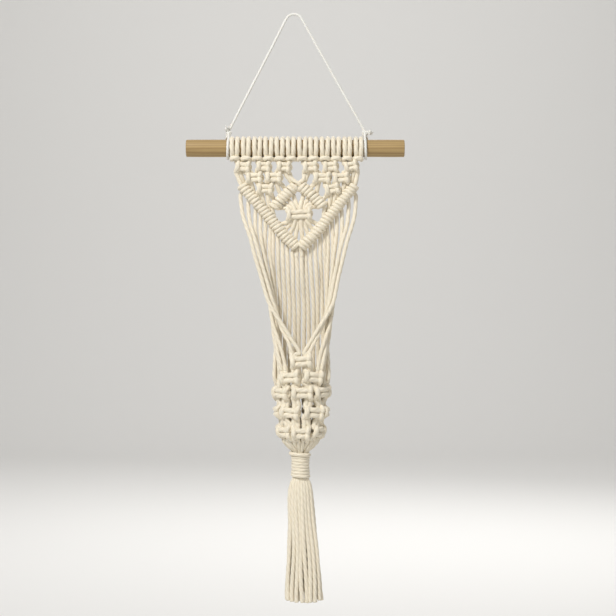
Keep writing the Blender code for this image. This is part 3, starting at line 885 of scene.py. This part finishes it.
# %% Gathering and tassel
wrap_middle = box_middle("wrap_cord")
gather_levels = [
    # height, then half width and half depth of the ring of strands
    (below(0.2778), 0.0172, 0.0132), (below(0.2838), 0.0130, 0.0104),
    (wrap_high.z + 0.0020, 0.0086, 0.0076), (wrap_high.z - 0.0040, 0.0056, 0.0054),
    (wrap_middle.z, 0.0048, 0.0048),
]
tassel_levels = [
    # drop below the wrap, then the same
    (-0.001, 0.0066, 0.0050), (0.005, 0.0088, 0.0062), (0.015, 0.0104, 0.0070),
    (0.030, 0.0112, 0.0074), (0.045, 0.0119, 0.0076), (0.060, 0.0128, 0.0079),
    (0.075, 0.0137, 0.0082), (0.090, 0.0147, 0.0085), (0.105, 0.0158, 0.0088),
    (0.116, 0.0164, 0.0089), (wrap_low.z - tassel_end, 0.0168, 0.0089),
]
for index, number in enumerate(order):
    turn = radians(-(index + 0.5) * strand_angle)
    inside = index % 3 == 1
    zone = "gather"
    for level, (z, half_width, half_depth) in enumerate(gather_levels):
        share = 1.0 - 0.14 * level * inside
        lay(number, Vector((lean(z) + half_width * share * sin(turn),
                            -half_depth * share * cos(turn), z)))
    zone = "tassel"
    spot_across, spot_deep = tassel_spot(index + 1)
    wobble = rng.uniform(0, any_turn)
    for level, (drop, half_width, half_depth) in enumerate(tassel_levels):
        z = wrap_low.z - drop
        if level == len(tassel_levels) - 1:
            z += rng.uniform(0.0, 0.0016) + 0.0022 * spot_across ** 2
        loose = 0.0007 * ease(level / 6)
        across = half_width * spot_across + loose * sin(wobble + level * 0.9)
        deep = half_depth * spot_deep + loose * cos(wobble * 2 + level * 0.7)
        lay(number, Vector((lean(z) + across, deep, z)), fullness=1.04)
print("places on strand 1:", len(strands[1]))

# %% [markdown]
# ## Drawing the cords
# Now each cord is drawn from one end to the other: up one strand, through its lark's head and down
# the other. The path is smoothed as a whole and only then cut where its zone changes, so that two
# pieces meet with the same ring of points and no step shows between them.

# %% Cut the cords into pieces
thickness = 0.0041
squeezed = 0.74
ply_turns = 2 * pi / 0.0085


def squeeze(z):
    """How thick a strand is at a height, as a share of its own thickness."""
    away = max(wrap_low.z - z, z - wrap_high.z, 0.0)
    return squeezed + (1 - squeezed) * min(away / 0.010, 1.0)


strand_pieces = {}
for head in range(12):
    left, right = 2 * head + 1, 2 * head + 2
    places = [(point, left, name, full) for point, name, full in reversed(strands[left])]
    places += [(point, right, name, full) for point, name, full in strands[right][1:]]
    path, passed = smooth_path([place[0] for place in places], 0.0011)
    frames = carry_frames(path)
    radii = []
    labels = []
    for point, count in zip(path, passed):
        index = min(int(count), len(places) - 2)
        first, second = places[index:index + 2]
        full = first[3] + (second[3] - first[3]) * (count - int(count))
        radii.append(thickness / 2 * full * squeeze(point.z))
        _, number, name, _ = first if first[1] == right else second
        labels.append((name, head + 1 if name == "panel" else number))
    start = 0
    length = head * 7.0
    for index in range(1, len(path) + 1):
        if index < len(path) and labels[index] == labels[start]:
            continue
        cut = slice(start, index + 1)
        name, number = labels[start]
        kind = "cord" if name == "panel" else "strand"
        piece = draw_tube(f"{kind}_{number:02d}_{name}", path[cut], frames[cut], radii[cut],
                          length, cotton, ply_turns)
        strand_pieces[name, number] = piece, path[cut]
        length += running_lengths(path[cut])[-1]
        start = index
print("cotton pieces:", len(strand_pieces))

# %% [markdown]
# ## Wrapping cord
# A separate cord binds the neck in eight tight turns, and its ends are pulled in under them. It is
# a screw path whose radius follows the bundle: wide at the loose top turn, narrow in the middle.

# %% Wrapping cord
wrap_turns = 8
wrap_thickness = 0.0037
neck_radius = 0.0073
wrap_path = [Vector((lean(wrap_high.z) + 0.002, 0.0, wrap_high.z - 0.006))]
for step in range(wrap_turns * 16 + 1):
    turn = step / 16
    share = turn / wrap_turns
    radius = neck_radius + 0.0009 * (2 * share - 1) ** 2 + 0.0024 * max(0.0, 1 - turn) ** 0.7
    z = wrap_high.z - 0.0008 - share * (wrap_high.z - wrap_low.z - 0.0026)
    angle = 2 * pi * turn + 1.2
    wrap_path.append(Vector((lean(z) + radius * cos(angle), radius * sin(angle), z)))
wrap_path.append(Vector((lean(wrap_low.z), 0.001, wrap_low.z + 0.005)))
path, _ = smooth_path(wrap_path, 0.0009)
wrap = draw_even_tube("wrap_cord_turns", path, wrap_thickness, 90.0, cotton, ply_turns)
dress(wrap, "pocket", "cotton", "wrap_cord")
print("wrapping cord:", round(running_lengths(path)[-1], 3), "m")

# %% [markdown]
# ## Hanger cord
# A thinner, whiter cord hangs the dowel up. It runs straight from one end of the cords to the hook,
# bends over it and runs down to the other end. At each end it goes round the dowel and is
# knotted to itself above it. The hook belongs to the wall and isn't modelled.

# %% Hanger cord
hook_radius = 0.0072
ends = {name: (box_middle(f"hanger_loop_{name}"), box_middle(f"hanger_knot_{name}"))
        for name in ("left", "right")}
bend = hook_radius + hanger_thickness / 2
hook = Vector((0, 0, -hook_radius))
feet = [Vector((loop.x, 0.0, knot.z + 0.0018)) for loop, knot in ends.values()]
touches = []
for foot, side in zip(feet, (-1, 1)):
    slope = atan2(abs(foot.x), hook.z - foot.z)
    turn = slope + asin(bend / (foot - hook).length)
    touches.append(pi / 2 - side * (pi / 2 - turn))
over_hook = []
for step in range(9):
    angle = touches[0] + (touches[1] - touches[0]) * step / 8
    over_hook.append(hook + Vector((cos(angle), 0, sin(angle))) * bend)
hanger_path = [feet[0].lerp(over_hook[0], share) for share in (0, 0.25, 0.5, 0.75)]
hanger_path += over_hook
hanger_path += [over_hook[-1].lerp(feet[1], share) for share in (0.25, 0.5, 0.75, 1)]
path, _ = smooth_path(hanger_path, 0.0012)
white_turns = 2 * pi / 0.0042
hanger = draw_even_tube("hanger_line", path, hanger_thickness, 200.0, white_cotton, white_turns)
hanger_length = running_lengths(path)[-1]
dress(hanger, "hanger", "hanger_cotton", "hanger_cord")
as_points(path)
print("hanger cord:", round(hanger_length, 3), "m")

# %% [markdown]
# Each end of the hanger cord is a loop round the dowel and an overhand knot on top of it. The knot
# is one round of a trefoil, pulled tight, and the cord leaves it sideways as a short tail.


# %% Loops and knots
def tie_hanger_end(side_name, tail):
    """Loop the hanger round the dowel and knot it; tail is where its end lies from the knot."""
    loop_middle, knot_middle = ends[side_name]
    loop_radius = dowel_radius + hanger_thickness / 2 + 0.0003
    x = loop_middle.x
    lean_out = copysign(0.0001, tail[-1][0])
    points = [Vector((x, -0.0006, knot_middle.z + 0.0010))]
    for step in range(21):
        angle = radians(70 - step * 17)
        points.append(Vector((x + lean_out * step, -loop_radius * cos(angle),
                              dowel_middle.z + loop_radius * sin(angle))))
    points.append(Vector((x, 0.0012, knot_middle.z - 0.0008)))
    path, _ = smooth_path(points, 0.0009)
    loop = draw_even_tube(f"hanger_loop_{side_name}_turn", path, hanger_thickness,
                          210.0, white_cotton, white_turns)
    dress(loop, "hanger", "hanger_cotton", f"hanger_loop_{side_name}")
    center = Vector((x, 0.0, knot_middle.z))
    points = []
    for step in range(17):
        angle = 2 * pi * step / 16 * 0.94
        reach = 0.0007 * (2.0 + cos(3 * angle))
        points.append(center + Vector((reach * cos(2 * angle), -0.0012 * sin(3 * angle),
                                       reach * sin(2 * angle) * 1.05)))
    points += [center + Vector(place) for place in tail]
    path, passed = smooth_path(points, 0.0006)
    radii = [hanger_thickness / 2 * (1 + 0.70 * ease((count - 17.5) / 2)) for count in passed]
    knot = draw_tube(f"hanger_knot_{side_name}_tail", path, carry_frames(path),
                     radii, 220.0, white_cotton, white_turns)
    pieces = [knot]
    for fringe in range(12):
        way = (path[-1] - path[-4]).normalized()
        spread = Vector((rng.uniform(-1, 1), rng.uniform(-1, 1), rng.uniform(-1, 1))) * 0.0019
        start = path[-1] - way * 0.0008 + spread * 0.5
        hair = [start, start + way * 0.0011 + spread * 0.5, start + way * 0.0021 + spread]
        pieces.append(draw_tube(f"hanger_fringe_{side_name}_{fringe + 1}", hair, carry_frames(hair),
                                [0.0007, 0.0006, 0.0004], 230.0, white_cotton, white_turns, sides=6))
    for piece in pieces:
        dress(piece, "hanger", "hanger_cotton", f"hanger_knot_{side_name}")
    print("hanger,", side_name, "end:", len(pieces) + 1, "pieces")


tie_hanger_end("left", [(-0.0008, -0.0016, 0.0024), (-0.0011, -0.0018, 0.0040)])
tie_hanger_end("right", [(0.0028, -0.0014, 0.0006), (0.0044, -0.0016, 0.0017),
                         (0.0054, -0.0016, 0.0010)])

# %% [markdown]
# ## Dowel
# A round stick, sanded, with its sawn ends eased. It starts as a cylinder primitive laid along X.
# Its rims are beveled, and cuts along it give rings of points that are shifted by fractions of a
# millimetre, since a sanded stick is never a perfect cylinder.

# %% Dowel
def select_edges(piece, wanted):
    """Select only the edges whose two ends pass a test, and stay in edit mode."""
    bpy.ops.object.mode_set(mode="EDIT")
    bpy.ops.mesh.select_mode(type="EDGE")
    bpy.ops.mesh.select_all(action="DESELECT")
    bpy.ops.object.mode_set(mode="OBJECT")
    for edge in piece.data.edges:
        a, b = (piece.data.vertices[index].co for index in edge.vertices)
        edge.select = wanted(a, b)
    bpy.ops.object.mode_set(mode="EDIT")


dowel_length = dowel_high.x - dowel_low.x
bpy.ops.object.select_all(action="DESELECT")
bpy.ops.mesh.primitive_cylinder_add(
    vertices=64, radius=dowel_radius, depth=dowel_length, end_fill_type="NGON",
    location=dowel_middle, rotation=(0, radians(90), 0),
)
dowel = bpy.context.object
dowel.name = "dowel_stick"
bpy.ops.object.transform_apply(location=True, rotation=True, scale=True)
select_edges(dowel, lambda a, b: abs(a.x - b.x) < 1e-6)
bpy.ops.mesh.bevel(offset=0.0009, segments=4, profile=0.5)
for share in range(1, 12):
    bpy.ops.mesh.select_all(action="SELECT")
    cut_x = dowel_low.x + dowel_length * share / 12
    bpy.ops.mesh.bisect(plane_co=(cut_x, 0, 0), plane_no=(1, 0, 0))
bpy.ops.object.mode_set(mode="OBJECT")
for vertex in dowel.data.vertices:
    flat = Vector((0, vertex.co.y - dowel_middle.y, vertex.co.z - dowel_middle.z))
    wave = 0.00012 * sin(vertex.co.x * 70 + 1)
    wave += 0.00008 * sin(3 * atan2(flat.z, flat.y))
    if flat.length > 0.7 * dowel_radius:
        vertex.co += flat.normalized() * (wave - 0.0002)
bpy.ops.object.shade_smooth_by_angle(angle=radians(35))
dowel.data.materials.append(wood)
dress(dowel, "dowel", "wood", "dowel")
print("dowel length:", round(dowel_length, 4))

# %% [markdown]
# ## What moves with what
# The panel swings on the dowel, the pocket swings below the panel, the pocket's front opens and the
# tassel sways. A piece inside one of these rides on it. A piece that crosses from one to the next is
# listed with the two bodies and the heights where it crosses; its points are fixed where they lie,
# and it hangs on neither body.

# %% Hang the pieces on their bodies
front_strands = {order[position - 1] for position in (1, 2, 3, 4, 21, 22, 23, 24)}
side_strands = {order[position - 1] for position in (5, 6, 19, 20)}
bends = {
    # the two bodies, and the heights between which a piece crosses from one to the other
    "long": ("panel", "pocket", -0.238, -0.292),
    "cross": ("pocket", "pocket_front", cross_top, -0.338),
    "net at the side": ("pocket_front", "pocket", -0.3822, -0.3898),
    "gather in front": ("pocket_front", "pocket", -0.4213, -0.4313),
    "tassel": ("pocket", "tassel", wrap_low.z, wrap_low.z - 0.021),
}
for (name, number), (piece, _) in strand_pieces.items():
    if name == "net" and number in side_strands:
        name = "net at the side"
    if name == "gather" and number in front_strands:
        name = "gather in front"
    if name in bends:
        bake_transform(piece)
    elif name == "net" and number in front_strands:
        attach(piece, "pocket_front")
    else:
        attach(piece, "panel" if name == "panel" else "pocket")
print("cord pieces hung:", len(strand_pieces))

# %% [markdown]
# The working model's plain solids are no longer shown; each is hidden here beside the piece that
# takes its place.

# %% Which pieces stand for which solids
for head in range(1, 13):
    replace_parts(strand_pieces["panel", head][0], f"larks_head_{head:02d}")
first_strands = [first for *_, firsts in panel_rows for first in firsts]
for number, first in enumerate(first_strands, start=1):
    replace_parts(strand_pieces["panel", (first + 1) // 2][0], f"square_knot_{number:02d}")
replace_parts(strand_pieces["panel", 1][0], "border_hitches_left")
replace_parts(strand_pieces["panel", 12][0], "border_hitches_right")
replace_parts(strand_pieces["panel", 6][0], "diamond_hitches")
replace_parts(strand_pieces["panel", 4][0], "center_knot")
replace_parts(strand_pieces["panel", 5][0], "fan_upper", "fan_lower")
for (name, number), (piece, _) in strand_pieces.items():
    if name in ("long", "cross"):
        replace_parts(piece, pair_nodes[number])
    if name == "net":
        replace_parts(piece, "pocket_front_net" if number in front_strands else "pocket_back_net")
    if name == "gather":
        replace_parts(piece, "gathered_strands")
    if name == "tassel":
        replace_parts(piece, "tassel_neck", "tassel_skirt")
print("square knots named:", len(first_strands))

# %% [markdown]
# ## Floor, backdrop and light
# The object hangs over a plain pale floor that curves up far behind it. The main light stands high
# on the left, a weak broad one on the right lifts the shadows, a third behind keeps the back from
# going dark, and a fourth lights only the backdrop, so that the pale cotton stands out from it.

# %% Floor and backdrop
bpy.ops.object.select_all(action="DESELECT")
bpy.ops.mesh.primitive_plane_add(size=1.0, location=(0, 0, -0.80))
floor = bpy.context.object
floor.name = "floor"
floor.scale = (60.0, 40.0, 1.0)
floor.location.y = -16.5
bpy.ops.object.transform_apply(location=True, rotation=True, scale=True)
select_edges(floor, lambda a, b: min(a.y, b.y) > 3.0)
for step in range(12):
    angle = radians(90) * (step + 0.5) / 12
    bpy.ops.mesh.extrude_region_move(
        TRANSFORM_OT_translate={"value": (0, 0.16 * cos(angle), 0.16 * sin(angle))})
bpy.ops.mesh.extrude_region_move(TRANSFORM_OT_translate={"value": (0, 0, 3.0)})
bpy.ops.object.mode_set(mode="OBJECT")
bpy.ops.object.shade_smooth()
floor.data.materials.append(new_finish("pale_floor", 0.9, (0.80, 0.79, 0.77))[0])
print("floor height:", round(floor.data.vertices[0].co.z, 2))

# %% Lights
world = bpy.data.worlds.new("soft_room")
bpy.context.scene.world = world
world.use_nodes = True
set_constants(world.node_tree.nodes["Background"], Color=(1.0, 0.99, 0.97, 1.0), Strength=0.36)
lights = [
    # name, place, size, power, and the place it looks at
    ("key_light", (-0.9, -1.5, 1.2), 0.4, 42, view_middle),
    ("fill_light", (1.5, -1.4, 0.2), 1.2, 4, view_middle),
    ("back_light", (0.6, 1.9, 0.9), 1.2, 18, view_middle),
    ("backdrop_light", (0.0, 1.6, 1.7), 2.0, 42, (0.0, 4.6, 0.2)),
]
for name, place, size, power, target in lights:
    bpy.ops.object.light_add(type="AREA", location=place)
    light = bpy.context.object
    light.name = name
    light.data.size = size
    light.data.energy = power
    aim = Vector(target) - Vector(place)
    light.rotation_euler = aim.to_track_quat("-Z", "Y").to_euler()
    print(name, "is", round(aim.length, 2), "m from what it lights")

# %% [markdown]
# ## Free ends
# The tassel's strands are free cords: each leaves the wrap and ends in a plain cut. Their lengths
# are worked out here, and the last is printed. The long strands above are held at both ends by knots.

for number in range(1, strand_count + 1):
    piece, piece_path = strand_pieces["tassel", number]
    downwards = piece_path if piece_path[0].z > piece_path[-1].z else piece_path[::-1]
    length = running_lengths(downwards)[-1]
print("last tassel strand:", round(length, 3), "m")
